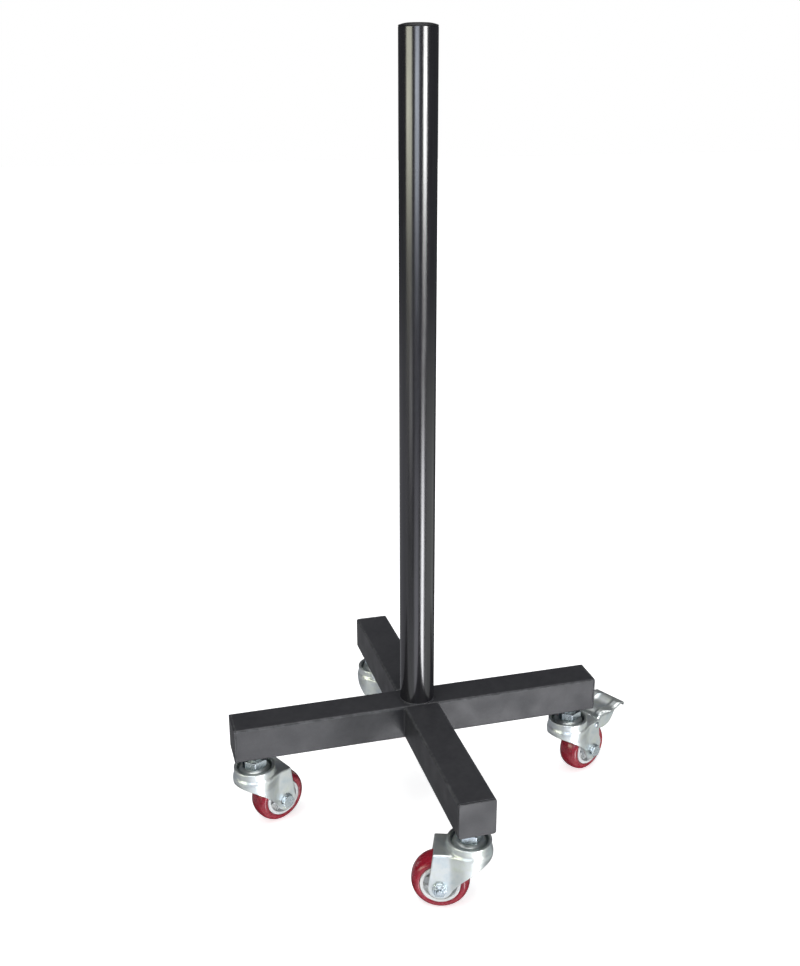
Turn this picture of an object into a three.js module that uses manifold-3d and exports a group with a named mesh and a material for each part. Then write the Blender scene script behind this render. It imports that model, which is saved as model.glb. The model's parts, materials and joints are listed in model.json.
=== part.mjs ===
// Mobile column stand: a cross of square tube on four swivel casters, with one
// tall round column. Millimetres, +Z up. The origin is on the floor, under the
// column's axis. -Y is the front.

import * as THREE from 'three';
import * as BufferGeometryUtils from 'three/addons/utils/BufferGeometryUtils.js';
import Module from 'manifold-3d';

const wasm = await Module();
wasm.setup();

// ---------------------------------------------------------------- dimensions

const GAP = 0.3;                 // clearance between pieces that touch

const ARM_SIZE = 50;             // square tube, outside
const ARM_WALL = 3;
const ARM_CORNER = 3;            // outer corner radius
const ARM_REACH = 267;           // column axis to the outside of an end plate
const ARM_BOTTOM = 122;          // underside of the arms above the floor
const ARM_TOP = ARM_BOTTOM + ARM_SIZE;
const END_PLATE = 3;

const COLUMN_RADIUS = 48.3 / 2;
const COLUMN_WALL = 3;
const STAND_HEIGHT = 1070;
const CAP_DOME = 2.4;            // rise of the cap's dome above its rim
const CAP_RIM = 1.6;
const CAP_FLAT_RADIUS = 12;
const CAP_PLUG_DEPTH = 18;

const CASTER_OFFSET = 237.5;     // column axis to each swivel axis
const TRAIL = 36;                // swivel axis to axle
const WHEEL_RADIUS = 38;
const TREAD_HALF = 16;
const TREAD_FLAT = 5.5;          // half the band that meets the floor
const HUB_RADIUS = 26.5;
const SHEET = 2.8;               // pressed steel of the fork

const CROWN_RADIUS = 31;         // round front of the fork
const LEG_HALF = 24;             // axle direction, outside of the fork's legs
const ROOF_TOP = 88;
const SKIRT_BOTTOM = 78.5;       // lowest point of the round front
const FORK_TAIL = 45;            // rear end of the roof, from the swivel axis
const LEG_END_RADIUS = 15.5;     // round end of a leg about the axle
const LEG_FRONT_ANGLE = 205;     // where the front edge runs into the round end, degrees
const LEG_FRONT_BEND = 21;       // how long the front edge runs straight above it
const SKIRT_BEND = new THREE.Vector2(-10, 70.5);
const FORK_BEYOND = 60;          // past the fork's rear edge, to be trimmed
const FORK_BELOW = 10;           // below the legs' round ends, to be trimmed
const COLLAR_OUTER = 29;
const COLLAR_INNER = 24.5;
const COLLAR_TOP = 100;
const COLLAR_ROOT = 1.4;         // how far the collar reaches into the roof

const STEM_RADIUS = 6;
const STEM_CLEAR = 0.4;
const STEM_TOP = 142;
const STEM_HEX = 33;             // across flats
const STEM_HEX_BOTTOM = 102.3;
const STEM_HEX_TOP = 113;
const RIVET_RADIUS = 9.5;
const RACE_RADIUS = 22;
const BALL_CIRCLE = 19.8;
const BALL_RADIUS = 2.1;
const NUT_HEX = 19;
const NUT_HEIGHT = 9.6;

const AXLE_RADIUS = 4;
const AXLE_HEX = 17;
const AXLE_HEAD = 5.3;
const AXLE_NUT = 6.5;
const THREAD_END = 2;            // thread that shows beyond the nut
const SLEEVE_RADIUS = 6.2;
const BEARING_INNER = 6.5;
const BEARING_OUTER = 10;
const BEARING_HALF = 17;

const PIN_X = 40;                // brake pivot, from the swivel axis
const PIN_Z = 80.3;
const PIN_RADIUS = 2.5;
const PIN_HEAD = 2;              // height of the pin's heads, and their rim
const PEDAL_HALF = 26;
const PEDAL_SHEET = 2.2;
const PEDAL_CORNER = 5;
const PEDAL_NECK = 57;           // where the plate starts to flare, and where it ends
const PEDAL_FLARE = 70;
const PEDAL_TIP = 105.5;
const CHEEK_OUTER = 20;          // cheeks run between the fork's legs
const CHEEK_INNER = 17.8;
const CHEEK_ROUND = 4.1;         // about the pin
const LEAF_HALF = 10;
const LEAF_SHEET = 1.8;

// Each caster: where its swivel axis stands and which way its wheel trails.
const CASTERS = [
  { side: 'front', x: 0, y: -CASTER_OFFSET, trails: 160, brake: false },
  { side: 'rear', x: 0, y: CASTER_OFFSET, trails: -62, brake: false },
  { side: 'left', x: -CASTER_OFFSET, y: 0, trails: 25.5, brake: false },
  { side: 'right', x: CASTER_OFFSET, y: 0, trails: 26, brake: true },
];

// ----------------------------------------------------------------- materials

function finish(color, roughness, metalness) {
  return { color, roughness, metalness };
}

const BASE_PAINT = finish(0x3f4145, 0.5, 0.1);
const COLUMN_PAINT = finish(0x1d1c20, 0.18, 0.2);
const CAP_PLASTIC = finish(0x18181a, 0.45, 0);
const ZINC = finish(0xc3cacb, 0.3, 0.9);
const STEEL = finish(0x8e9496, 0.35, 0.9);
const HUB_PLASTIC = finish(0xbfc1c0, 0.45, 0);
const TREAD_RED = finish(0x9b2433, 0.25, 0);

// -------------------------------------------------------------- solid helpers

function toSolid(geometry) {
  const bare = geometry.clone();
  bare.deleteAttribute('normal');
  bare.deleteAttribute('uv');
  const merged = BufferGeometryUtils.mergeVertices(bare, 1e-4);
  return new wasm.Manifold(new wasm.Mesh({
    numProp: 3,
    vertProperties: new Float32Array(merged.attributes.position.array),
    triVerts: new Uint32Array(merged.index.array),
  }));
}

function toGeometry(solid) {
  const raw = solid.getMesh();
  const geometry = new THREE.BufferGeometry();
  geometry.setAttribute('position', new THREE.BufferAttribute(raw.vertProperties, 3));
  geometry.setIndex(new THREE.BufferAttribute(raw.triVerts, 1));
  geometry.computeVertexNormals();
  return geometry;
}

function piece(name, solid, look) {
  const mesh = new THREE.Mesh(toGeometry(solid), new THREE.MeshStandardMaterial(look));
  mesh.name = name;
  return mesh;
}

function box(x0, x1, y0, y1, z0, z1) {
  const geometry = new THREE.BoxGeometry(x1 - x0, y1 - y0, z1 - z0);
  geometry.translate((x0 + x1) / 2, (y0 + y1) / 2, (z0 + z1) / 2);
  return toSolid(geometry);
}

// A round or many-sided bar along Z, from z0 to z1.
function bar(radius, z0, z1, sides = 16) {
  const geometry = new THREE.CylinderGeometry(radius, radius, z1 - z0, sides);
  geometry.rotateX(Math.PI / 2);
  geometry.translate(0, 0, (z0 + z1) / 2);
  return toSolid(geometry);
}

function hexBar(acrossFlats, z0, z1) {
  return bar(acrossFlats / Math.sqrt(3), z0, z1, 6);
}

// A profile of [radius, height] points, turned about Z. It runs up the outside.
function turned(profile, sides = 24) {
  const points = profile.map(([radius, height]) => new THREE.Vector2(radius, height));
  const geometry = new THREE.LatheGeometry(points, sides);
  geometry.rotateX(Math.PI / 2);
  return toSolid(geometry);
}

// The same about the axle, with a flat facet straight below the axle.
function turnedAboutAxle(profile, sides) {
  return turned(profile, sides)
    .rotate([90, 0, 0])
    .rotate([0, 180 / sides, 0])
    .translate([TRAIL, 0, WHEEL_RADIUS]);
}

function ring(inner, outer, z0, z1) {
  return [[inner, z0], [outer, z0], [outer, z1], [inner, z1], [inner, z0]];
}

// A profile that is the same on both sides of height 0, closed on itself.
function mirrored(half) {
  const other = half.map(([radius, height]) => [radius, -height]).reverse();
  return [...other, ...half, other[0]];
}

// A side view in X and Z, drawn through the thickness from -half to half in Y.
function sideways(shape, half) {
  const geometry = new THREE.ExtrudeGeometry(shape, {
    depth: 2 * half,
    bevelEnabled: false,
    curveSegments: 7,
  });
  geometry.rotateX(Math.PI / 2);
  geometry.translate(0, half, 0);
  return toSolid(geometry);
}

function roundedSquare(half, radius) {
  const shape = new THREE.Shape();
  const flat = half - radius;
  const quarter = Math.PI / 2;
  shape.moveTo(half, -flat);
  shape.absarc(flat, flat, radius, 0, quarter, false);
  shape.absarc(-flat, flat, radius, quarter, 2 * quarter, false);
  shape.absarc(-flat, -flat, radius, 2 * quarter, 3 * quarter, false);
  shape.absarc(flat, -flat, radius, 3 * quarter, 4 * quarter, false);
  return shape;
}

// ---------------------------------------------------------------------- base

function squareBar(half, radius, length) {
  const geometry = new THREE.ExtrudeGeometry(roundedSquare(half, radius), {
    depth: length,
    bevelEnabled: false,
    curveSegments: 2,
  });
  return toSolid(geometry);
}

// A square tube that runs along +X from x0 to x1, level with the arms.
function squareTube(x0, x1) {
  const half = ARM_SIZE / 2;
  const outside = squareBar(half, ARM_CORNER, x1 - x0);
  const inside = squareBar(half - ARM_WALL, ARM_CORNER / 2, x1 - x0 + 2).translate([0, 0, -1]);
  return outside
    .subtract(inside)
    .rotate([0, 90, 0])
    .translate([x0, 0, ARM_BOTTOM + half]);
}

function stemHole(x) {
  const radius = STEM_RADIUS + STEM_CLEAR;
  return bar(radius, ARM_BOTTOM - 1, ARM_BOTTOM + ARM_WALL + 1).translate([x, 0, 0]);
}

function crossBeam() {
  const reach = ARM_REACH - END_PLATE - GAP;
  return squareTube(-reach, reach)
    .subtract(stemHole(CASTER_OFFSET))
    .subtract(stemHole(-CASTER_OFFSET));
}

// A half arm that starts at the side of the cross beam.
function sideArm(degrees) {
  const start = ARM_SIZE / 2 + GAP;
  return squareTube(start, ARM_REACH - END_PLATE - GAP)
    .subtract(stemHole(CASTER_OFFSET))
    .rotate([0, 0, degrees]);
}

function endPlate(degrees) {
  return squareBar(ARM_SIZE / 2, ARM_CORNER, END_PLATE)
    .rotate([0, 90, 0])
    .translate([ARM_REACH - END_PLATE, 0, ARM_BOTTOM + ARM_SIZE / 2])
    .rotate([0, 0, degrees]);
}

function columnTube() {
  const top = STAND_HEIGHT - CAP_DOME - CAP_RIM - GAP;
  const inner = COLUMN_RADIUS - COLUMN_WALL;
  return turned(ring(inner, COLUMN_RADIUS, ARM_TOP + GAP, top), 32);
}

// A plastic plug with a thin rim and a low dome that is flat in its middle.
function columnCap() {
  const rimBottom = STAND_HEIGHT - CAP_DOME - CAP_RIM;
  const plug = COLUMN_RADIUS - COLUMN_WALL - GAP;
  return turned([
    [0, rimBottom - CAP_PLUG_DEPTH],
    [plug - 1.5, rimBottom - CAP_PLUG_DEPTH],
    [plug, rimBottom - CAP_PLUG_DEPTH + 3],
    [plug, rimBottom],
    [COLUMN_RADIUS, rimBottom],
    [COLUMN_RADIUS, rimBottom + CAP_RIM],
    [COLUMN_RADIUS - 3.2, rimBottom + CAP_RIM + CAP_DOME * 0.55],
    [COLUMN_RADIUS - 7.4, rimBottom + CAP_RIM + CAP_DOME * 0.88],
    [CAP_FLAT_RADIUS, STAND_HEIGHT],
    [0, STAND_HEIGHT],
  ]);
}

// -------------------------------------------------------------------- casters

// The king pin, the hexagon that stops the upper race and the threaded end, all
// one turned bar. Its lower end is riveted over under the fork's roof.
function stem() {
  const roofBottom = ROOF_TOP - SHEET;
  const shank = bar(STEM_RADIUS, roofBottom - 3, STEM_TOP);
  const rivet = turned([
    [0, roofBottom - 5.6],
    [RIVET_RADIUS - 3, roofBottom - 5.2],
    [RIVET_RADIUS, roofBottom - 2.4],
    [RIVET_RADIUS, roofBottom - GAP],
    [0, roofBottom - GAP],
  ], 16);
  return shank.add(rivet).add(hexBar(STEM_HEX, STEM_HEX_BOTTOM, STEM_HEX_TOP));
}

function stemNut(bottom, height) {
  return hexBar(NUT_HEX, bottom, bottom + height)
    .subtract(bar(STEM_RADIUS + GAP, bottom - 1, bottom + height + 1));
}

// The domed steel cup that turns on the balls, inside the fork's collar.
function upperRace() {
  const bottom = ROOF_TOP + 4.8;
  const bore = STEM_RADIUS + GAP;
  return turned([
    [bore, bottom],
    [RACE_RADIUS, bottom],
    [RACE_RADIUS - 0.4, bottom + 4.4],
    [RACE_RADIUS - 4.5, bottom + 8.2],
    [bore, STEM_HEX_BOTTOM - GAP],
    [bore, bottom],
  ]);
}

// The ring of balls between the fork's roof and the upper race.
function ballRing() {
  const geometry = new THREE.TorusGeometry(BALL_CIRCLE, BALL_RADIUS, 6, 20);
  geometry.translate(0, 0, ROOF_TOP + GAP + BALL_RADIUS);
  return toSolid(geometry);
}

// The angle about the axle where a line from `start` touches the leg's round end.
function tangentAngle(start) {
  const dx = start.x - TRAIL;
  const dy = start.y - WHEEL_RADIUS;
  return Math.atan2(dy, dx) - Math.acos(LEG_END_RADIUS / Math.hypot(dx, dy));
}

// The fork's outline from the side: a short upright front, a lower edge that
// bends down over the wheel into the leg, the leg's round end about the axle,
// and a nearly upright rear edge.
function forkSideView() {
  const front = new THREE.Vector2(-CROWN_RADIUS - 1, SKIRT_BOTTOM);
  const tail = new THREE.Vector2(FORK_TAIL, ROOF_TOP + 1);
  const angle = THREE.MathUtils.degToRad(LEG_FRONT_ANGLE);
  const outward = new THREE.Vector2(Math.cos(angle), Math.sin(angle));
  const upward = new THREE.Vector2(outward.y, -outward.x);
  const legFront = new THREE.Vector2(TRAIL, WHEEL_RADIUS).addScaledVector(outward, LEG_END_RADIUS);
  const legBend = legFront.clone().addScaledVector(upward, LEG_FRONT_BEND);
  const shape = new THREE.Shape();
  shape.moveTo(tail.x, tail.y);
  shape.lineTo(front.x, tail.y);
  shape.lineTo(front.x, front.y);
  shape.bezierCurveTo(SKIRT_BEND.x, SKIRT_BEND.y, legBend.x, legBend.y, legFront.x, legFront.y);
  shape.absarc(TRAIL, WHEEL_RADIUS, LEG_END_RADIUS, angle, tangentAngle(tail) + 2 * Math.PI, false);
  return shape;
}

function crownAndLegs(radius, half, z0, z1) {
  return bar(radius, z0, z1, 24).add(box(0, FORK_BEYOND, -half, half, z0, z1));
}

// One pressed sheet: a roof with a raised collar for the balls, a round front
// skirt and two flat legs, open at the rear.
function fork(pinned) {
  const outside = crownAndLegs(CROWN_RADIUS, LEG_HALF, FORK_BELOW, ROOF_TOP);
  const inside = crownAndLegs(CROWN_RADIUS - SHEET, LEG_HALF - SHEET, FORK_BELOW - 1, ROOF_TOP - SHEET);
  const shell = outside.subtract(inside).intersect(sideways(forkSideView(), CROWN_RADIUS + 1));
  const shoulder = CROWN_RADIUS - 0.2;
  const root = ROOF_TOP - COLLAR_ROOT;
  const collar = turned([
    [COLLAR_INNER, root],
    [shoulder, root],
    [shoulder, ROOF_TOP + 0.4],
    [COLLAR_OUTER, ROOF_TOP + 4],
    [COLLAR_OUTER, COLLAR_TOP],
    [COLLAR_INNER, COLLAR_TOP],
    [COLLAR_INNER, root],
  ]);
  const solid = shell
    .add(collar)
    .subtract(bar(STEM_RADIUS + STEM_CLEAR, ROOF_TOP - 2 * SHEET, ROOF_TOP + SHEET))
    .subtract(aboutAxle(crossBar(AXLE_RADIUS + GAP)));
  return pinned ? solid.subtract(aboutPin(crossBar(PIN_RADIUS + GAP))) : solid;
}

// A bar that is longer than any caster is wide, to bore a hole with.
function crossBar(radius) {
  return bar(radius, -2 * CROWN_RADIUS, 2 * CROWN_RADIUS);
}

// Lays a piece that was made about Z along the axle or along the brake's pin.
function aboutAxle(solid) {
  return solid.rotate([90, 0, 0]).translate([TRAIL, 0, WHEEL_RADIUS]);
}

function aboutPin(solid) {
  return solid.rotate([90, 0, 0]).translate([PIN_X, 0, PIN_Z]);
}

function axleBolt() {
  const face = LEG_HALF + GAP;
  const shank = bar(AXLE_RADIUS, -face - AXLE_NUT - THREAD_END, face + 1);
  return aboutAxle(shank.add(hexBar(AXLE_HEX, face, face + AXLE_HEAD)));
}

function axleNut() {
  const face = LEG_HALF + GAP;
  return aboutAxle(hexBar(AXLE_HEX, -face - AXLE_NUT, -face).subtract(crossBar(AXLE_RADIUS + GAP)));
}

function axleSleeve() {
  const half = LEG_HALF - SHEET - GAP;
  return aboutAxle(turned(ring(AXLE_RADIUS + GAP, SLEEVE_RADIUS, -half, half), 16));
}

function wheelBearing() {
  return turnedAboutAxle(ring(BEARING_INNER, BEARING_OUTER, -BEARING_HALF, BEARING_HALF), 16);
}

// A spool: a thick boss, a thin web and a wide rim.
function wheelHub() {
  return turnedAboutAxle(mirrored([
    [HUB_RADIUS, TREAD_HALF - 0.4],
    [HUB_RADIUS - 1.5, TREAD_HALF + 0.4],
    [HUB_RADIUS - 4, TREAD_HALF + 0.4],
    [HUB_RADIUS - 5, TREAD_HALF - 5.5],
    [BEARING_OUTER + 2.6, TREAD_HALF - 5.5],
    [BEARING_OUTER + 2.6, BEARING_HALF - 0.2],
    [BEARING_OUTER + GAP, BEARING_HALF - 0.2],
  ]), 20);
}

// The crowned tyre, with a flat band in its middle that meets the floor.
function tread(sides = 32) {
  const facet = 1 / Math.cos(Math.PI / sides);
  return turnedAboutAxle(mirrored([
    [WHEEL_RADIUS * facet, TREAD_FLAT],
    [(WHEEL_RADIUS - 2) * facet, TREAD_HALF - 4.5],
    [WHEEL_RADIUS - 6.5, TREAD_HALF],
    [HUB_RADIUS + GAP, TREAD_HALF - 0.8],
  ]), sides);
}

// ---------------------------------------------------------------------- brake

// A bent strip of sheet in the side view, of even thickness, along a list of
// points of its middle line.
function stripView(points, thickness) {
  const half = thickness / 2;
  const upper = [];
  const lower = [];
  points.forEach(([x, z], index) => {
    const before = points[Math.max(index - 1, 0)];
    const after = points[Math.min(index + 1, points.length - 1)];
    const length = Math.hypot(after[0] - before[0], after[1] - before[1]);
    const nx = -(after[1] - before[1]) / length;
    const nz = (after[0] - before[0]) / length;
    upper.push(new THREE.Vector2(x + nx * half, z + nz * half));
    lower.push(new THREE.Vector2(x - nx * half, z - nz * half));
  });
  return new THREE.Shape([...lower, ...upper.reverse()]);
}

// The pedal from above: narrow between the legs, then flared to the foot plate.
function pedalPlan() {
  const corner = PEDAL_TIP - PEDAL_CORNER;
  const flat = PEDAL_HALF - PEDAL_CORNER;
  const shape = new THREE.Shape();
  shape.moveTo(PIN_X, -CHEEK_OUTER);
  shape.lineTo(PEDAL_NECK, -CHEEK_OUTER);
  shape.lineTo(PEDAL_FLARE, -PEDAL_HALF);
  shape.lineTo(corner, -PEDAL_HALF);
  shape.absarc(corner, -flat, PEDAL_CORNER, -Math.PI / 2, 0, false);
  shape.absarc(corner, flat, PEDAL_CORNER, 0, Math.PI / 2, false);
  shape.lineTo(PEDAL_FLARE, PEDAL_HALF);
  shape.lineTo(PEDAL_NECK, CHEEK_OUTER);
  shape.lineTo(PIN_X, CHEEK_OUTER);
  return toSolid(new THREE.ExtrudeGeometry(shape, {
    depth: 2 * ROOF_TOP,
    bevelEnabled: false,
    curveSegments: 3,
  }));
}

// The foot plate, rolled down at its end, and two cheeks that turn on the pin.
function brakePedal() {
  const throat = [[49.5, 90.6], [54, 93.8], [60, 95.4], [68, 95], [76, 94.4], [82, 95.4]];
  const roll = [[88, 97.8], [94, 99.2], [99.4, 98], [103, 95]];
  const plateView = stripView([...throat, ...roll, [PEDAL_TIP - PEDAL_SHEET / 2, 91]], PEDAL_SHEET);
  const plate = sideways(plateView, PEDAL_HALF).intersect(pedalPlan());
  const cheekView = new THREE.Shape();
  cheekView.moveTo(91, 98.6);
  cheekView.lineTo(82, 95.4);
  cheekView.lineTo(76, 94.4);
  cheekView.lineTo(60, 95.4);
  cheekView.lineTo(54, 93.8);
  cheekView.lineTo(49, 90.2);
  cheekView.lineTo(48, PIN_Z + CHEEK_ROUND);
  cheekView.lineTo(PIN_X, PIN_Z + CHEEK_ROUND);
  cheekView.absarc(PIN_X, PIN_Z, CHEEK_ROUND, Math.PI / 2, 1.4 * Math.PI, false);
  cheekView.lineTo(56, 71);
  cheekView.lineTo(66, 66.5);
  cheekView.lineTo(76, 69.5);
  cheekView.lineTo(84, 78);
  cheekView.lineTo(89, 88);
  const hollow = box(0, PEDAL_TIP, -CHEEK_INNER, CHEEK_INNER, 0, 2 * ROOF_TOP);
  const cheeks = sideways(cheekView, CHEEK_OUTER).subtract(hollow);
  return plate.add(cheeks).subtract(aboutPin(crossBar(PIN_RADIUS + GAP)));
}

function brakePin() {
  const face = LEG_HALF + GAP;
  const head = bar(PIN_RADIUS + PIN_HEAD, face, face + PIN_HEAD);
  const tail = bar(PIN_RADIUS + PIN_HEAD, -face - PIN_HEAD, -face);
  return aboutPin(bar(PIN_RADIUS, -face - 1, face + 1).add(head).add(tail));
}

// A spring leaf under the foot plate. Its free end bears on the tread when the
// pedal goes down, and lifts it again.
function brakeLeaf() {
  return sideways(stripView([
    [79, 91.8], [73, 90.6], [68.4, 87], [67, 81], [69.2, 75], [68.6, 71], [71.4, 67],
  ], LEAF_SHEET), LEAF_HALF);
}

// ------------------------------------------------------------------- assembly

function caster({ side, x, y, trails, brake }) {
  const group = new THREE.Group();
  group.position.set(x, y, 0);
  group.rotation.z = THREE.MathUtils.degToRad(trails);
  const nutBottom = STEM_HEX_TOP + GAP;
  const pieces = [
    piece(`stem_${side}`, stem(), STEEL),
    piece(`jam_nut_${side}`, stemNut(nutBottom, ARM_BOTTOM - GAP - nutBottom), ZINC),
    piece(`weld_nut_${side}`, stemNut(ARM_BOTTOM + ARM_WALL + GAP, NUT_HEIGHT), STEEL),
    piece(`upper_race_${side}`, upperRace(), ZINC),
    piece(`ball_ring_${side}`, ballRing(), STEEL),
    piece(`fork_${side}`, fork(brake), ZINC),
    piece(`axle_bolt_${side}`, axleBolt(), STEEL),
    piece(`axle_nut_${side}`, axleNut(), STEEL),
    piece(`axle_sleeve_${side}`, axleSleeve(), STEEL),
    piece(`wheel_bearing_${side}`, wheelBearing(), STEEL),
    piece(`wheel_hub_${side}`, wheelHub(), HUB_PLASTIC),
    piece(`tread_${side}`, tread(), TREAD_RED),
  ];
  if (brake) {
    pieces.push(piece('brake_pedal', brakePedal(), ZINC));
    pieces.push(piece('brake_pin', brakePin(), STEEL));
    pieces.push(piece('brake_leaf', brakeLeaf(), STEEL));
  }
  group.add(...pieces);
  return group;
}

const stand = new THREE.Group();
stand.add(
  piece('cross_beam', crossBeam(), BASE_PAINT),
  piece('front_arm', sideArm(-90), BASE_PAINT),
  piece('rear_arm', sideArm(90), BASE_PAINT),
  piece('end_plate_right', endPlate(0), BASE_PAINT),
  piece('end_plate_rear', endPlate(90), BASE_PAINT),
  piece('end_plate_left', endPlate(180), BASE_PAINT),
  piece('end_plate_front', endPlate(-90), BASE_PAINT),
  piece('column_tube', columnTube(), COLUMN_PAINT),
  piece('column_cap', columnCap(), CAP_PLASTIC),
  ...CASTERS.map(caster),
);

export default stand;
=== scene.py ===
"""The looks of a mobile column stand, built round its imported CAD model.

Lengths are in metres in the scene. Shapes that repeat on every caster are drawn
in millimetres in the caster's own frame: Z is the swivel axis, with 0 on the
floor, X points the way the wheel trails, and Y is along the axle.
"""

import json
import math

import bmesh
import bpy
import numpy as np
from mathutils import Matrix, Quaternion, Vector


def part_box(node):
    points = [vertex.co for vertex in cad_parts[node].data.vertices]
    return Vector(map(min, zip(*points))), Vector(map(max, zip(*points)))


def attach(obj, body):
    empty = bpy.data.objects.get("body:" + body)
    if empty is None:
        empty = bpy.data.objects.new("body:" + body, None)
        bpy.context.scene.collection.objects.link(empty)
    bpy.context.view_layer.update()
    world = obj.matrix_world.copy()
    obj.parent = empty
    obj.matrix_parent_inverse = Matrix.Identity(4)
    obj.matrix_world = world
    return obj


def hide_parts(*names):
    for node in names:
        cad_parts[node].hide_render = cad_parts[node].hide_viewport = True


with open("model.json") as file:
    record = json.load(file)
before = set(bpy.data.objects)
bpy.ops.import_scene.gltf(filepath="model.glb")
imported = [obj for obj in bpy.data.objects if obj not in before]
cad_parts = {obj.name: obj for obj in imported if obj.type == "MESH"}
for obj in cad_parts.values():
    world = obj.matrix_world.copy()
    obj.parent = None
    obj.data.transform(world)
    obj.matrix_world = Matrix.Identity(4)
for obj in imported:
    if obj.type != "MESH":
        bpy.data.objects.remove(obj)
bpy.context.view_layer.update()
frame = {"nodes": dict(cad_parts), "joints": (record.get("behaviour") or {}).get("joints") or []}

MM = 0.001
SIDES = ("front", "rear", "left", "right")
JOINTS = {joint["name"]: joint for joint in frame["joints"]}
CELL = 1.0


# ------------------------------------------------------- reading the CAD frame

def caster_matrix(side):
    """The caster's own frame: under its swivel axis, turned the way it trails."""
    place = JOINTS["swivel_turn_" + side]["pos_m"]
    axle = JOINTS["wheel_roll_" + side]["axis"]
    angle = math.atan2(-axle[0], axle[1])
    return Matrix.Translation((place[0], place[1], 0)) @ Matrix.Rotation(angle, 4, "Z")


def local_box(node, matrix):
    """A CAD node's lowest and highest corner in a given frame, in millimetres."""
    inverse = matrix.inverted()
    points = np.array([inverse @ v.co for v in frame["nodes"][node].data.vertices])
    return points.min(0) / MM, points.max(0) / MM


def low(node):
    return CASTER_BOXES[node][0]


def high(node):
    return CASTER_BOXES[node][1]


RIGHT = caster_matrix("right")
CASTER_BOXES = {
    name: local_box(name + ("" if name.startswith("brake") else "_right"), RIGHT)
    for name in ("fork", "tread", "wheel_hub", "wheel_bearing", "axle_sleeve", "axle_bolt",
                 "axle_nut", "upper_race", "ball_ring", "stem", "jam_nut", "weld_nut",
                 "brake_pedal", "brake_pin", "brake_leaf")
}

# The pressed fork, read off its solid.
SHEET = 2.8
COLLAR_RISE = 12
CROWN = -low("fork")[0]
LEG_HALF = high("axle_sleeve")[1] + SHEET + 0.3
COLLAR_TOP = high("fork")[2]
ROOF = COLLAR_TOP - COLLAR_RISE
SKIRT_BOTTOM = ROOF - 9.5
COLLAR_OUTER = CROWN - 2
COLLAR_INNER = CROWN - 6.5
WHEEL_R = high("tread")[2] / 2
TREAD_HALF = high("tread")[1]
HUB_R = high("wheel_hub")[2] - WHEEL_R
BEARING_HALF = high("wheel_bearing")[1]
AXLE_X = (low("axle_bolt")[0] + high("axle_bolt")[0]) / 2
LEG_END = WHEEL_R - low("fork")[2]
TAIL_TOP = 45
STEM_R = 6.0
AXLE_R = 4.0
PIN_X = (low("brake_pin")[0] + high("brake_pin")[0]) / 2
PIN_Z = (low("brake_pin")[2] + high("brake_pin")[2]) / 2
PIN_R = 2.5

# Hexagons across their flats, and the other parts of the fasteners.
STEM_HEX = 33
AXLE_HEX = 17
NUT_HEX = 19
WASHER_R = 9.7
NUT_BORE = 6.2
BALL_COUNT = 26
BALL_R = 2.05


# ------------------------------------------------------------- mesh building

def smooth_shaded(mesh):
    mesh.polygons.foreach_set("use_smooth", [True] * len(mesh.polygons))
    mesh.update()
    return mesh


def new_mesh(name, vertices, faces):
    mesh = bpy.data.meshes.new(name)
    mesh.from_pydata(vertices, [], faces)
    mesh.validate()
    return smooth_shaded(mesh)


def new_from_mesh(name, mesh, material, matrix=None):
    piece = bpy.data.objects.new(name, mesh)
    bpy.context.scene.collection.objects.link(piece)
    if not mesh.materials:
        mesh.materials.append(material)
    if matrix is not None:
        piece.matrix_world = matrix
    return piece


def smooth_min(a, b, k):
    """The union of two fields, with a fillet of about k where they meet."""
    h = np.maximum(k - np.abs(a - b), 0) / k
    return np.minimum(a, b) - h * h * k / 4


def smooth_max(a, b, k):
    return -smooth_min(-a, -b, k)


def flat_box(u, v, half_u, half_v, corner=0.0):
    """Distance to a rectangle about the origin, with round corners."""
    qu = np.abs(u) - half_u + corner
    qv = np.abs(v) - half_v + corner
    outside = np.hypot(np.maximum(qu, 0), np.maximum(qv, 0))
    return outside + np.minimum(np.maximum(qu, qv), 0) - corner


def between(value, bottom, top):
    """Distance to a slab from bottom to top."""
    return np.abs(value - (bottom + top) / 2) - (top - bottom) / 2


def hexagon(u, v, across_flats):
    distance = np.full_like(u, -1e9)
    for step in range(3):
        angle = math.radians(30 + 60 * step)
        distance = np.maximum(distance, np.abs(u * math.cos(angle) + v * math.sin(angle)))
    return distance - across_flats / 2


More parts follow.
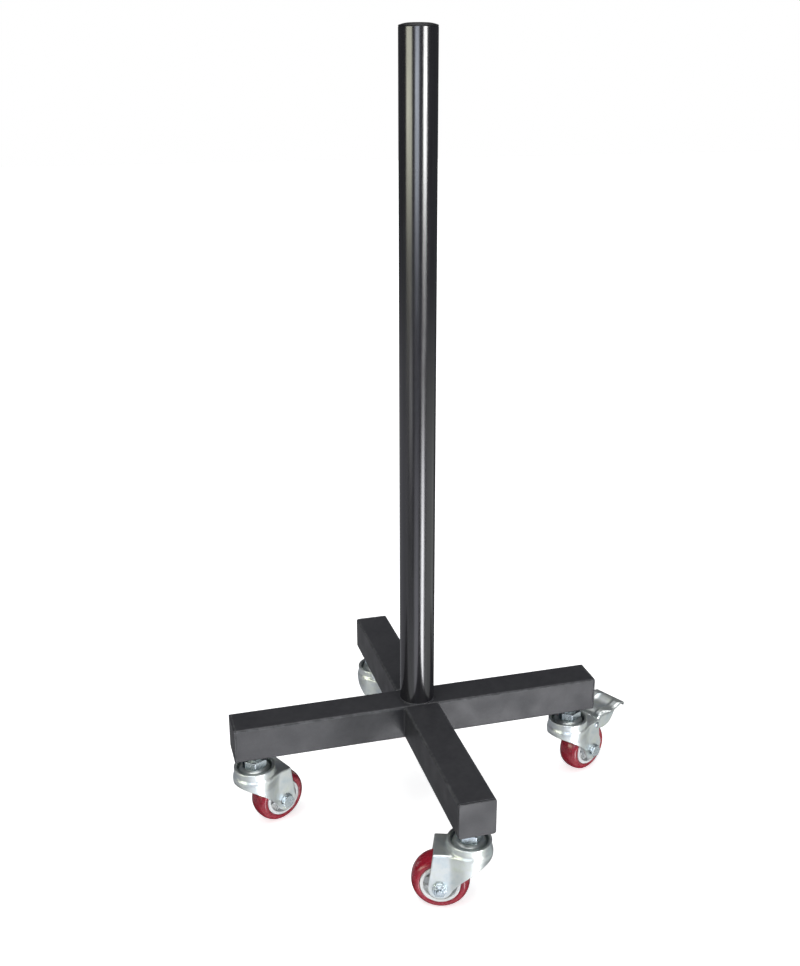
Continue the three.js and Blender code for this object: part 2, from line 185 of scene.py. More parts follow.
def surface_of(field, lowest, highest, step):
    """Vertices and quads of a field's zero surface, found on a grid of cells."""
    axes = [np.arange(a - 1.5 * step, b + 2.5 * step, step) for a, b in zip(lowest, highest)]
    grid = np.meshgrid(*axes, indexing="ij")
    value = field(*grid)
    inside = value < 0
    shape = np.array(value.shape) - 1
    total = np.zeros((*shape, 3))
    count = np.zeros(shape)
    crossings = []
    for axis in range(3):
        a = [slice(None)] * 3
        b = [slice(None)] * 3
        a[axis], b[axis] = slice(0, -1), slice(1, None)
        va, vb = value[tuple(a)], value[tuple(b)]
        crossed = inside[tuple(a)] != inside[tuple(b)]
        share = np.where(crossed, va / np.where(crossed, va - vb, 1), 0)
        crossings.append((crossed, inside[tuple(a)]))
        others = [i for i in range(3) if i != axis]
        for du in (0, 1):
            for dv in (0, 1):
                part = [slice(0, shape[i]) for i in range(3)]
                part[others[0]] = slice(du, du + shape[others[0]])
                part[others[1]] = slice(dv, dv + shape[others[1]])
                hit = crossed[tuple(part)]
                count += hit
                total[..., axis] += hit * share[tuple(part)]
                total[..., others[0]] += hit * du
                total[..., others[1]] += hit * dv
    active = count > 0
    number = np.full(shape, -1)
    number[active] = np.arange(active.sum())
    cells = np.argwhere(active)
    points = (cells + total[active] / count[active][:, None]) * step
    points += np.array([axis[0] for axis in axes])
    faces = []
    for axis, (crossed, solid_first) in enumerate(crossings):
        u, v = (axis + 1) % 3, (axis + 2) % 3
        spots = np.argwhere(crossed)
        keep = (spots[:, u] > 0) & (spots[:, v] > 0)
        keep &= (spots[:, u] < shape[u]) & (spots[:, v] < shape[v])
        spots = spots[keep]
        corners = []
        for du, dv in ((-1, -1), (0, -1), (0, 0), (-1, 0)):
            cell = spots.copy()
            cell[:, u] += du
            cell[:, v] += dv
            corners.append(number[tuple(cell.T)])
        quads = np.stack(corners, 1)
        flip = ~solid_first[tuple(spots.T)]
        quads[flip] = quads[flip][:, ::-1]
        faces.append(quads)
    points = settle(field, points, step)
    return points, np.concatenate(faces)


def settle(field, points, step):
    """Moves the points onto the field's zero surface along its slope."""
    nudge = step * 0.05
    for _ in range(4):
        here = field(*points.T)
        slope = np.stack([
            (field(*(points + nudge * unit).T) - here) / nudge for unit in np.eye(3)
        ], 1)
        steep = np.maximum((slope ** 2).sum(1), 0.25)
        move = slope * (here / steep)[:, None]
        length = np.linalg.norm(move, axis=1, keepdims=True)
        points = points - move * np.minimum(1, 0.5 * step / np.maximum(length, 1e-9))
    return points


def field_mesh(name, field, lowest, highest, step):
    """A smooth-shaded mesh of a field drawn in millimetres."""
    points, faces = surface_of(field, lowest, highest, step)
    return new_mesh(name, (points * MM).tolist(), faces.tolist())


def rounded(outline, radius, steps=4):
    """A closed outline of (radius, height) points with each corner rounded off."""
    result = []
    count = len(outline)
    for i, point in enumerate(outline):
        here = Vector(point)
        before = Vector(outline[i - 1]) - here
        after = Vector(outline[(i + 1) % count]) - here
        cut = min(radius, before.length * 0.45, after.length * 0.45)
        start = here + before.normalized() * cut
        end = here + after.normalized() * cut
        for s in range(steps + 1):
            t = s / steps
            result.append((1 - t) ** 2 * start + 2 * t * (1 - t) * here + t * t * end)
    return result


def turned_mesh(name, outline, segments, axle=False):
    """A closed outline of (radius, height) points turned about Z, or about Y."""
    ring = len(outline)
    vertices = []
    for s in range(segments):
        angle = 2 * math.pi * s / segments
        for radius, height in outline:
            u, v = radius * math.cos(angle), radius * math.sin(angle)
            spot = (u * MM, -height * MM, v * MM) if axle else (u * MM, v * MM, height * MM)
            vertices.append(spot)
    faces = []
    for s in range(segments):
        a, b = s * ring, (s + 1) % segments * ring
        for i in range(ring):
            j = (i + 1) % ring
            faces.append((a + i, b + i, b + j, a + j))
    return new_mesh(name, vertices, faces)


# ------------------------------------------------------------------ materials

class Nodes:
    """A short way to wire a material's nodes."""

    def __init__(self, name):
        self.material = bpy.data.materials.new(name)
        self.material.use_nodes = True
        self.tree = self.material.node_tree
        self.shader = self.tree.nodes["Principled BSDF"]
        self.place = self.add("ShaderNodeTexCoord").outputs["Object"]

    def add(self, kind, **settings):
        node = self.tree.nodes.new(kind)
        for key, value in settings.items():
            setattr(node, key, value)
        return node

    def link(self, source, target):
        self.tree.links.new(source, target)

    def stretched(self, scale):
        """The object's own coordinates, scaled along each axis."""
        node = self.add("ShaderNodeMapping")
        self.link(self.place, node.inputs["Vector"])
        node.inputs["Scale"].default_value = scale
        return node.outputs["Vector"]

    def noise(self, scale, detail=4.0, rough=0.5, vector=None):
        node = self.add("ShaderNodeTexNoise")
        self.link(vector or self.place, node.inputs["Vector"])
        node.inputs["Scale"].default_value = scale
        node.inputs["Detail"].default_value = detail
        node.inputs["Roughness"].default_value = rough
        return node.outputs["Fac"]

    def ramp(self, source, *stops):
        """A colour ramp of (position, colour or grey) stops."""
        node = self.add("ShaderNodeValToRGB")
        elements = node.color_ramp.elements
        while len(elements) < len(stops):
            elements.new(0.5)
        for element, (position, colour) in zip(elements, stops):
            element.position = position
            grey = isinstance(colour, (int, float))
            element.color = (colour,) * 3 + (1,) if grey else (*colour, 1)
        self.link(source, node.inputs["Fac"])
        return node.outputs["Color"]

    def mix(self, factor, a, b):
        node = self.add("ShaderNodeMix", data_type="RGBA", blend_type="MIX")
        sockets = (node.inputs["Factor"], node.inputs[6], node.inputs[7])
        for socket, value in zip(sockets, (factor, a, b)):
            if isinstance(value, bpy.types.NodeSocket):
                self.link(value, socket)
            elif isinstance(value, (int, float)) and socket.type == "RGBA":
                socket.default_value = (value, value, value, 1)
            elif isinstance(value, tuple):
                socket.default_value = (*value, 1)
            else:
                socket.default_value = value
        return node.outputs[2]

    def math(self, operation, a, b=0.0):
        node = self.add("ShaderNodeMath", operation=operation)
        for socket, value in zip(node.inputs, (a, b)):
            if isinstance(value, bpy.types.NodeSocket):
                self.link(value, socket)
            else:
                socket.default_value = value
        return node.outputs["Value"]

    def edges(self, low_value, high_value):
        """Near 1 on convex edges, near 0 elsewhere."""
        point = self.add("ShaderNodeNewGeometry").outputs["Pointiness"]
        return self.ramp(point, (low_value, 0.0), (high_value, 1.0))

    def bump(self, height, strength, distance, under=None):
        node = self.add("ShaderNodeBump")
        node.inputs["Strength"].default_value = strength
        node.inputs["Distance"].default_value = distance
        self.link(height, node.inputs["Height"])
        if under is not None:
            self.link(under, node.inputs["Normal"])
        return node.outputs["Normal"]

    def set(self, **values):
        names = {"color": "Base Color", "rough": "Roughness", "metal": "Metallic",
                 "normal": "Normal", "coat": "Coat Weight", "coat_rough": "Coat Roughness",
                 "ior": "IOR", "aniso": "Anisotropic", "turn": "Anisotropic Rotation",
                 "tangent": "Tangent", "under": "Subsurface Weight",
                 "under_scale": "Subsurface Scale"}
        for key, value in values.items():
            socket = self.shader.inputs[names[key]]
            if isinstance(value, bpy.types.NodeSocket):
                self.link(value, socket)
            else:
                socket.default_value = value
        return self.material


def arm_paint():
    """Satin grey-black paint on mill-finish tube, its convex edges lightened: part wear, part
    painted highlight.
    """
    n = Nodes("arm_paint")
    cloud = n.noise(9, 5)
    fleck = n.noise(900, 2)
    base = n.ramp(cloud, (0.3, (0.022, 0.0222, 0.0258)), (0.7, (0.031, 0.0312, 0.0350)))
    base = n.mix(n.ramp(fleck, (0.55, 0.0), (0.75, 0.35)), base, (0.050, 0.051, 0.056))
    # Convex edges are lightened in patches: partly paint worn thin, partly a painted highlight
    # where the edges catch the light.
    patchy = n.ramp(n.noise(140, 4), (0.38, 0.2), (0.62, 1.0))
    edge_wear_and_highlight = n.math("MULTIPLY", n.edges(0.52, 0.60), patchy)
    color = n.mix(edge_wear_and_highlight, base, (0.16, 0.163, 0.17))
    rough = n.ramp(n.noise(35, 5), (0.3, 0.40), (0.7, 0.52))
    peel = n.bump(n.noise(260, 3), 0.10, 0.0006)
    grain = n.bump(fleck, 0.08, 0.0002, peel)
    return n.set(color=color, rough=rough, normal=grain, ior=1.5)


def column_paint():
    """Gloss black lacquer over drawn tube, with faint lengthwise streaks."""
    n = Nodes("column_paint")
    streak = n.noise(30, 4, vector=n.stretched((14, 14, 0.35)))
    base = n.ramp(streak, (0.3, (0.008, 0.0076, 0.0096)), (0.7, (0.014, 0.0136, 0.016)))
    color = n.mix(n.ramp(n.noise(7, 4), (0.5, 0.0), (0.8, 0.3)), base, (0.024, 0.022, 0.030))
    rough = n.ramp(n.noise(40, 4, vector=n.stretched((6, 6, 0.5))), (0.3, 0.19), (0.7, 0.23))
    wave = n.bump(streak, 0.05, 0.0004)
    normal = n.bump(n.noise(420, 3), 0.03, 0.0003, wave)
    tangent = n.add("ShaderNodeTangent", direction_type="RADIAL", axis="Z").outputs["Tangent"]
    return n.set(color=color, rough=rough, normal=normal, ior=1.9, aniso=0.5, turn=0.25,
                 tangent=tangent)


def cap_plastic():
    n = Nodes("cap_plastic")
    color = n.ramp(n.noise(60, 4), (0.3, (0.010, 0.010, 0.011)), (0.7, (0.018, 0.018, 0.020)))
    rough = n.ramp(n.noise(90, 4), (0.3, 0.42), (0.7, 0.55))
    return n.set(color=color, rough=rough, normal=n.bump(n.noise(1500, 2), 0.15, 0.0002))


def zinc_plate():
    """Bright zinc plate, faintly blue and straw in patches, with fine scuffs."""
    n = Nodes("zinc_plate")
    patch = n.noise(55, 4, 0.6)
    tint = n.ramp(patch, (0.30, (0.68, 0.76, 0.78)), (0.5, (0.80, 0.84, 0.83)),
                  (0.72, (0.77, 0.82, 0.74)))
    grain = n.noise(700, 3, vector=n.stretched((1, 1, 0.25)))
    color = n.mix(n.ramp(grain, (0.4, 0.0), (0.75, 0.15)), tint, (0.56, 0.60, 0.60))
    rough = n.ramp(n.noise(110, 4), (0.3, 0.34), (0.7, 0.42))
    dents = n.bump(n.noise(45, 2), 0.04, 0.0006)
    normal = n.bump(grain, 0.04, 0.0001, dents)
    return n.set(color=color, rough=rough, metal=0.92, normal=normal)


def plated_steel():
    n = Nodes("plated_steel")
    color = n.ramp(n.noise(120, 4), (0.3, (0.52, 0.60, 0.65)), (0.7, (0.68, 0.74, 0.77)))
    rough = n.ramp(n.noise(300, 4), (0.3, 0.22), (0.7, 0.36))
    return n.set(color=color, rough=rough, metal=0.95, normal=n.bump(n.noise(800, 3), 0.12, 0.0002))


def spring_steel():
    n = Nodes("spring_steel")
    color = n.ramp(n.noise(150, 4), (0.3, (0.10, 0.10, 0.105)), (0.7, (0.17, 0.17, 0.175)))
    rough = n.ramp(n.noise(200, 4), (0.3, 0.35), (0.7, 0.5))
    return n.set(color=color, rough=rough, metal=0.9, normal=n.bump(n.noise(700, 3), 0.15, 0.0002))


def wheel_plastic():
    n = Nodes("wheel_plastic")
    color = n.ramp(n.noise(80, 4), (0.3, (0.62, 0.63, 0.63)), (0.7, (0.70, 0.71, 0.70)))
    dirt = n.math("MULTIPLY", n.ramp(n.noise(260, 5), (0.5, 0.0), (0.7, 1.0)), 0.15)
    color = n.mix(dirt, color, (0.32, 0.31, 0.29))
    rough = n.ramp(n.noise(120, 4), (0.3, 0.35), (0.7, 0.5))
    return n.set(color=color, rough=rough, normal=n.bump(n.noise(900, 3), 0.12, 0.0003))


def tread_red():
    """Cast polyurethane: glossy, a little translucent, dusted here and there."""
    n = Nodes("tread_red")
    color = n.ramp(n.noise(70, 4), (0.3, (0.23, 0.007, 0.019)), (0.7, (0.31, 0.010, 0.027)))
    dust = n.math("MULTIPLY", n.ramp(n.noise(420, 5), (0.56, 0.0), (0.75, 1.0)), 0.10)
    color = n.mix(dust, color, (0.46, 0.22, 0.20))
    rough = n.ramp(n.noise(150, 5), (0.3, 0.18), (0.7, 0.34))
    normal = n.bump(n.noise(260, 3), 0.06, 0.0004)
    return n.set(color=color, rough=rough, normal=normal, coat=0.25, coat_rough=0.12,
                 under=0.12, under_scale=0.004)


FINISH = {
    make.__name__: make()
    for make in (arm_paint, column_paint, cap_plastic, zinc_plate, plated_steel, spring_steel,
                 wheel_plastic, tread_red)
}


def place_piece(node, mesh, slot, body, matrix=None):
    """Shows a finished mesh in place of a CAD node, riding on its body."""
    piece = new_from_mesh(node + "_piece", mesh, FINISH[slot], matrix)
    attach(piece, body)
    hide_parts(node)
    return piece


# ----------------------------------------------------------------------- base

def square_ring(half, radius, steps=6):
    """A square's outline with round corners, and a point close by each arc."""
    support = min(0.5, radius * 0.3)
    flat = half - radius
    points = []
    for quarter in range(4):
        a = quarter * math.pi / 2
        ca, sa = math.cos(a), math.sin(a)
        corner = [(half, flat - support)]
        for s in range(steps + 1):
            t = s / steps * math.pi / 2
            corner.append((flat + radius * math.cos(t), flat + radius * math.sin(t)))
        corner.append((flat - support, half))
        points += [(u * ca - v * sa, u * sa + v * ca) for u, v in corner]
    return points


def skin(rings, closed):
    """Quads between rings of equal length. A closed skin joins the last ring to
    the first, and an open one gets a cap at each end."""
    count = len(rings[0])
    vertices = [point for ring in rings for point in ring]
    faces = []
    last = len(rings) if closed else len(rings) - 1
    for r in range(last):
        a, b = r * count, (r + 1) % len(rings) * count
        for i in range(count):
            j = (i + 1) % count
            faces.append((a + i, a + j, b + j, b + i))
    if not closed:
        faces.append(tuple(range(count))[::-1])
        faces.append(tuple(range(len(vertices) - count, len(vertices))))
    return vertices, faces


def square_mesh(name, rings, level, degrees, closed):
    """A mesh from (x, half size, corner radius) rings along +X, turned to its arm."""
    turn = Matrix.Rotation(math.radians(degrees), 4, "Z")
    solid = [[(x, u, v + level) for u, v in square_ring(half, radius)]
             for x, half, radius in rings]
    vertices, faces = skin(solid, closed)
    mesh = bpy.data.meshes.new(name)
    mesh.from_pydata([turn @ (Vector(v) * MM) for v in vertices], [], faces)
    mesh.validate()
    mesh.polygons.foreach_set("use_smooth", [len(p.vertices) == 4 for p in mesh.polygons])
    mesh.update()
    return mesh


ARM_LOW, ARM_HIGH = (corner.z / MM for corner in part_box("cross_beam"))
ARM_HALF = (ARM_HIGH - ARM_LOW) / 2
ARM_LEVEL = (ARM_HIGH + ARM_LOW) / 2
ARM_CORNER = 3.2
ARM_WALL = 3.0
COLUMN_WALL = 3
WELD_SIDES = 10
PLATE_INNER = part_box("end_plate_right")[0].x / MM
PLATE_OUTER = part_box("end_plate_right")[1].x / MM


def square_tube(node, start, end, degrees):
    inner = ARM_HALF - ARM_WALL
    near, far = start + 0.6, end - 0.6
    rings = [(start, ARM_HALF, ARM_CORNER), (near, ARM_HALF, ARM_CORNER),
             (far, ARM_HALF, ARM_CORNER), (end, ARM_HALF, ARM_CORNER),
             (end, inner, 1.2), (start, inner, 1.2)]
    mesh = square_mesh(node + "_piece", rings, ARM_LEVEL, degrees, closed=True)
    place_piece(node, mesh, "arm_paint", "base")


def end_plate(side, degrees):
    """A cap plate welded on flush, its outer edge dressed round."""
    node = "end_plate_" + side
    rings = [(PLATE_INNER - 0.3, ARM_HALF, ARM_CORNER), (PLATE_OUTER - 1.5, ARM_HALF, ARM_CORNER)]
    for step in range(1, 6):
        t = step / 5 * math.pi / 2
        inset = 1.1 * (1 - math.cos(t))
        face = PLATE_OUTER - 1.1 * (1 - math.sin(t))
        rings.append((face, ARM_HALF - inset, ARM_CORNER - inset * 0.5))
    rings.append((PLATE_OUTER, ARM_HALF - 1.6, ARM_CORNER - 0.8))
    mesh = square_mesh(node + "_piece", rings, ARM_LEVEL, degrees, closed=False)
    place_piece(node, mesh, "arm_paint", "base")


def weld_bead(name, path, radius, closed=False, seed=1):
    """A run of overlapping weld ripples along a path of points in millimetres."""
    spread = np.random.default_rng(seed)
    count = len(path)
    rings = []
    for i, point in enumerate(path):
        ahead = path[(i + 1) % count] if closed else path[min(i + 1, count - 1)]
        behind = path[i - 1] if closed or i else path[0]
        along = (Vector(ahead) - Vector(behind)).normalized()
        aside = along.cross(Vector((0.31, 0.17, 0.93))).normalized()
        up = along.cross(aside)
        ripple = 1 + 0.10 * (i % 4 - 1.5) / 1.5 + spread.uniform(-0.05, 0.05)
        ring = []
        for s in range(WELD_SIDES):
            t = 2 * math.pi * s / WELD_SIDES
            out = aside * math.cos(t) + up * math.sin(t)
            ring.append(tuple(Vector(point) + out * radius * ripple))
        rings.append(ring)
    vertices, faces = skin(rings, closed)
    mesh = new_mesh(name, [Vector(v) * MM for v in vertices], faces)
    piece = new_from_mesh(name, mesh, FINISH["arm_paint"])
    piece.modifiers.new("soften", "SUBSURF").render_levels = 1
    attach(piece, "base")


def line(start, end, step=0.7):
    start, end = Vector(start), Vector(end)
    count = max(2, round((end - start).length / step))
    return [start.lerp(end, i / count) for i in range(count + 1)]


def build_base():
    square_tube("cross_beam", -PLATE_INNER + 0.3, PLATE_INNER - 0.3, 0)
    for node, degrees in (("front_arm", -90), ("rear_arm", 90)):
        square_tube(node, ARM_HALF + 0.1, PLATE_INNER - 0.3, degrees)
    for side, degrees in (("right", 0), ("rear", 90), ("left", 180), ("front", -90)):
        end_plate(side, degrees)
    edge, reach = ARM_HALF + 0.3, ARM_HALF - 3
    for face, sign in (("front", -1), ("rear", 1)):
        for where, z in (("top", ARM_HIGH - 1.7), ("under", ARM_LOW + 1.2)):
            run = line((-reach, sign * edge, z), (reach, sign * edge, z))
            weld_bead(f"weld_{face}_{where}", run, 1.5, seed=len(face) + len(where))
        for end, x in (("left", -edge), ("right", edge)):
            run = line((x, sign * edge, ARM_LOW + 3), (x, sign * edge, ARM_HIGH - 3.2))
            weld_bead(f"weld_{face}_{end}", run, 1.3, seed=len(face) * len(end))


def merged(mesh):
    """The mesh with its coincident points joined, for outlines that meet the axis."""
    work = bmesh.new()
    work.from_mesh(mesh)
    bmesh.ops.remove_doubles(work, verts=work.verts, dist=1e-6)
    bmesh.ops.recalc_face_normals(work, faces=work.faces)
    work.to_mesh(mesh)
    work.free()
    return smooth_shaded(mesh)


def build_column():
    foot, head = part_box("column_tube")
    outer = (head.x - foot.x) / 2 / MM
    inner = outer - COLUMN_WALL
    top = head.z / MM
    outline = rounded([(inner, ARM_HIGH), (outer, ARM_HIGH), (outer, top), (inner, top)], 0.7)
    place_piece("column_tube", merged(turned_mesh("column_tube_piece", outline, 128)),
                "column_paint", "base")
    plug, crest = (corner.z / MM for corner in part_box("column_cap"))
    rim = crest - 4
    outline = [(0, plug), (inner - 1.9, plug), (inner - 0.3, plug + 3), (inner - 0.3, rim),
               (outer - 0.1, rim), (outer, rim + 0.6), (outer - 0.5, rim + 1.7)]
    for step in range(1, 9):
        t = step / 8
        outline.append((outer - 0.5 - 11.6 * t, rim + 1.7 + 2.3 * math.sin(t * math.pi / 2)))
    outline.append((0, crest))
    place_piece("column_cap", merged(turned_mesh("column_cap_piece", outline, 96)),
                "cap_plastic", "base")
    circle = [(outer + 0.1) * Vector((math.cos(a), math.sin(a), 0))
              for a in np.linspace(0, 2 * math.pi, 220, endpoint=False)]
    run = [(p.x, p.y, ARM_HIGH + 0.3) for p in circle]
    weld_bead("weld_column_foot", run, 1.4, closed=True, seed=7)


# -------------------------------------------------------------------- casters

def polyline_distance(x, z, points):
    """Distance to a line of joined segments, in the side view."""
    distance = np.full_like(x, 1e9)
    for (ax, az), (bx, bz) in zip(points, points[1:]):
        dx, dz = bx - ax, bz - az
        share = np.clip(((x - ax) * dx + (z - az) * dz) / (dx * dx + dz * dz), 0, 1)
        distance = np.minimum(distance, np.hypot(x - ax - share * dx, z - az - share * dz))
    return distance


def polygon(x, z, corners):
    """Signed distance to a polygon in the side view."""
    distance = polyline_distance(x, z, corners + corners[:1])
    inside = np.zeros(x.shape, bool)
    for (ax, az), (bx, bz) in zip(corners, corners[1:] + corners[:1]):
        if az != bz:
            crosses = (az > z) != (bz > z)
            inside ^= crosses & (x < ax + (z - az) * (bx - ax) / (bz - az))
    return np.where(inside, -distance, distance)


def fork_outline():
    """The fork from the side: an upright front, a lower edge that bends down
    over the wheel into the leg, the round end about the axle, a straight rear."""
    axle = Vector((AXLE_X, WHEEL_R))
    tail = Vector((TAIL_TOP, ROOF + 1))
    front = Vector((-CROWN - 1, SKIRT_BOTTOM))
    first = math.radians(205)
    to_tail = tail - axle
    last = math.atan2(to_tail.y, to_tail.x) - math.acos(LEG_END / to_tail.length) + 2 * math.pi
    outward = Vector((math.cos(first), math.sin(first)))
    leg = axle + outward * LEG_END
    bend = leg + Vector((outward.y, -outward.x)) * 21
    shoulder = Vector((-10, SKIRT_BOTTOM - 8))
    points = [tuple(tail), (front.x, tail.y)]
    for step in range(17):
        t = step / 16
        u = 1 - t
        spot = u ** 3 * front + 3 * u * u * t * shoulder + 3 * u * t * t * bend + t ** 3 * leg
        points.append(tuple(spot))
    for angle in np.linspace(first, last, 24)[1:]:
        points.append((AXLE_X + LEG_END * math.cos(angle), WHEEL_R + LEG_END * math.sin(angle)))
    return points


FORK_OUTLINE = fork_outline()


def fork_field(x, y, z):
    """A pressed sheet: roof, collar, round front skirt and two flat legs."""
    taper = 0.10 * np.clip(ROOF - 5 - z, 0, 12)
    radial = np.hypot(x, y)
    plan = smooth_min(radial - CROWN + taper, flat_box(x - 40, y, 40, LEG_HALF), 5)
    bend = 6.5 - 3 * np.clip(x / 15, 0, 1)
    outside = smooth_max(plan, z - ROOF, bend)
    inside = smooth_max(plan + SHEET, z - ROOF + SHEET, 3.5)
    shell = smooth_max(outside, -inside, 0.4)
    body = smooth_max(shell, polygon(x, z, FORK_OUTLINE), 1.0)
    middle = (COLLAR_OUTER + COLLAR_INNER) / 2
    wall = (COLLAR_OUTER - COLLAR_INNER) / 2
    level = (COLLAR_TOP + ROOF - 2) / 2
    collar = flat_box(radial - middle, z - level, wall, (COLLAR_TOP - ROOF + 2) / 2, 1.4)
    body = smooth_min(body, collar, 4)
    body = smooth_max(body, -(radial - STEM_R - 0.4), 0.5)
    hole = np.hypot(x - AXLE_X, z - WHEEL_R) - AXLE_R - 0.3
    return smooth_max(body, -hole, 0.5)


def chamfered_hex(u, v, w, across, bottom, top, both=True):
    """A hexagon bar along w, with its corners turned off at the top, or both ends."""
    body = smooth_max(hexagon(u, v, across), between(w, bottom, top), 0.3)
    radial = np.hypot(u, v)
    cone = radial + (w - top) * 1.7 - across * 0.515
    body = smooth_max(body, cone * 0.5, 0.3)
    if both:
        body = smooth_max(body, (radial - (w - bottom) * 1.7 - across * 0.515) * 0.5, 0.3)
    return body


def thread(radial, angle, along, radius, pitch=1.75, depth=0.45):
    wave = np.abs(((along / pitch + angle / (2 * math.pi)) % 1) - 0.5) * 2
    return (radial - radius + depth * wave) * 0.7


def stem_field(x, y, z):
    radial, angle = np.hypot(x, y), np.arctan2(y, x)
    hex_low, hex_high, top = 102.3, 113.0, high("stem")[2]
    shank = smooth_max(radial - STEM_R, between(z, low("stem")[2], hex_low + 1), 0.3)
    screw = smooth_max(thread(radial, angle, z, STEM_R), between(z, hex_high - 1, top), 0.8)
    rivet = flat_box(radial, z - low("stem")[2] - 2.6, 9.5, 2.6, 2.2)
    head = chamfered_hex(x, y, z, STEM_HEX, hex_low, hex_high)
    body = smooth_min(shank, rivet, 1.0)
    return np.minimum(smooth_min(body, head, 0.8), screw)


def nut_field(bottom, top, across, bore):
    def field(x, y, z):
        body = chamfered_hex(x, y, z, across, bottom, top)
        return smooth_max(body, bore - np.hypot(x, y), 0.5)
    return field


def axle_bolt_field(x, y, z):
    u, v = x - AXLE_X, z - WHEEL_R
    radial = np.hypot(u, v)
    inner, outer = LEG_HALF + 0.3, -low("axle_bolt")[1]
    washer = smooth_max(radial - WASHER_R, between(-y, inner, inner + 1.5), 0.4)
    head = chamfered_hex(u, v, -y, AXLE_HEX, inner + 1, outer, both=False)
    screw = smooth_max(thread(radial, np.arctan2(v, u), y, AXLE_R, 1.25, 0.35),
                       between(y, -inner - 0.5, high("axle_bolt")[1]), 0.6)
    return np.minimum(smooth_min(washer, head, 0.3), screw)


def axle_nut_field(x, y, z):
    """A locknut: a hexagon with a washer face and a crimped round collar."""
    u, v = x - AXLE_X, z - WHEEL_R
    radial = np.hypot(u, v)
    inner, outer = LEG_HALF + 0.3, high("axle_nut")[1]
    washer = smooth_max(radial - WASHER_R, between(y, inner, inner + 1.4), 0.4)
    body = chamfered_hex(u, v, y, AXLE_HEX, inner + 1, outer - 1.6)
    collar = smooth_max(radial - 6.8, between(y, inner + 2, outer), 1.0)
    solid = smooth_min(smooth_min(washer, body, 0.3), collar, 0.5)
    return smooth_max(solid, AXLE_R + 0.2 - radial, 0.4)


def hub_field(x, y, z):
    """A moulded spool: boss, thin web, wide rim and ribs between them."""
    u, v, w = x - AXLE_X, z - WHEEL_R, np.abs(y)
    radial, angle = np.hypot(u, v), np.arctan2(v, u)
    rim = flat_box(radial - (HUB_R - 2.3), w, 2.3, TREAD_HALF + 0.3, 1.0)
    boss = flat_box(radial - 11.6, w, 1.8, BEARING_HALF - 0.3, 0.6)
    web = np.maximum(np.abs(w) - 7.5, np.abs(radial - 17) - 7)
    spokes = 8
    turn = (angle * spokes / (2 * math.pi)) % 1 - 0.5
    rib = np.abs(turn) * 2 * math.pi / spokes * radial - 1.0
    depth = w - 12.5 + 0.12 * (radial - 12)
    rib = np.maximum(rib, np.maximum(depth, np.abs(radial - 17) - 7))
    body = smooth_min(smooth_min(rim, web, 1.8), smooth_min(boss, rib, 1.2), 1.8)
    return smooth_max(body, 10.15 - radial, 0.4)


def curved(points, steps=5):
    """More points along a smooth curve through the given ones."""
    ends = [2 * np.array(points[0]) - points[1], *map(np.array, points),
            2 * np.array(points[-1]) - points[-2]]
    result = []
    for a, b, c, d in zip(ends, ends[1:], ends[2:], ends[3:]):
        for s in range(steps):
            t = s / steps
            bend = 2 * a - 5 * b + 4 * c - d
            twist = 3 * b - a - 3 * c + d
            result.append(tuple(0.5 * (2 * b + (c - a) * t + bend * t * t + twist * t ** 3)))
    return result + [tuple(points[-1])]


# The brake from the side: the foot plate, its leaf and one cheek's outline.
PLATE_LINE = curved([(47, 88), (49.5, 91.2), (54, 93.4), (60, 94.4), (68, 93.4), (76, 92.5),
                     (82, 93.4), (88, 95.6), (94, 97.2), (99.6, 97), (103.2, 94.4), (104.2, 90.6)])
LEAF_LINE = curved([(79, 90.9), (73, 90.1), (68.4, 86.8), (67, 81), (69.2, 75), (68.6, 71),
                    (71.4, 67)])
CHEEK = [(90, 95.6), (82, 92.8), (76, 91.8), (60, 93.4), (54.4, 92), (49.8, 89), (48.6, 83.8),
         (PIN_X, 83.8), (38.8, 77)]
CHEEK += curved([(48, 70), (57.5, 67), (66, 67), (76.4, 70.4), (83.2, 78.2), (87.6, 86.4),
                 (90, 93)])
PLATE_THICK = 2.2
LEAF_THICK = 1.8
CHEEK_THICK = 2.1
CHEEK_MIDDLE = 18.9
EYE_R = 4.0
# From above, one half: the neck between the legs, then the flare. The outline
# reaches well past the middle, which is no edge.
PLAN_CORNER = 4
PLAN = [(30, -60), (30, 16), (57.9, 16), (70.9, 22), (101.4, 22), (101.4, -60)]


def pedal_field(x, y, z):
    """The foot plate, rolled down at its end, and its two cheeks, from one sheet."""
    plate = polyline_distance(x, z, PLATE_LINE) - PLATE_THICK / 2
    plate = smooth_max(plate, polygon(x, np.abs(y), PLAN) - PLAN_CORNER, 1.0)
    eye = np.hypot(x - PIN_X, z - PIN_Z)
    cheek = np.minimum(polygon(x, z, CHEEK) - 0.5, eye - EYE_R)
    cheek = smooth_max(cheek, np.abs(np.abs(y) - CHEEK_MIDDLE) - CHEEK_THICK / 2, 0.6)
    body = smooth_min(plate, cheek, 9)
    return smooth_max(body, PIN_R + 0.3 - eye, 0.4)


def leaf_field(x, y, z):
    leaf = polyline_distance(x, z, LEAF_LINE) - LEAF_THICK / 2
    return smooth_max(leaf, np.abs(y) - 10, 0.6)


def ball_mesh():
    work = bmesh.new()
    middle = (low("ball_ring") + high("ball_ring")) / 2 * MM
    reach = high("ball_ring")[0] * MM - 2.1 * MM
    for i in range(BALL_COUNT):
        a = 2 * math.pi * i / BALL_COUNT
        spot = Matrix.Translation((reach * math.cos(a), reach * math.sin(a), middle[2]))
        bmesh.ops.create_icosphere(work, subdivisions=2, radius=BALL_R * MM, matrix=spot)
    mesh = bpy.data.meshes.new("ball_ring")
    work.to_mesh(mesh)
    work.free()
    return smooth_shaded(mesh)


def on_axle(name, outline, segments):
    """A mesh turned about the wheel's axle."""
    mesh = merged(turned_mesh(name, outline, segments, axle=True))
    mesh.transform(Matrix.Translation((AXLE_X * MM, 0, WHEEL_R * MM)))
    return mesh


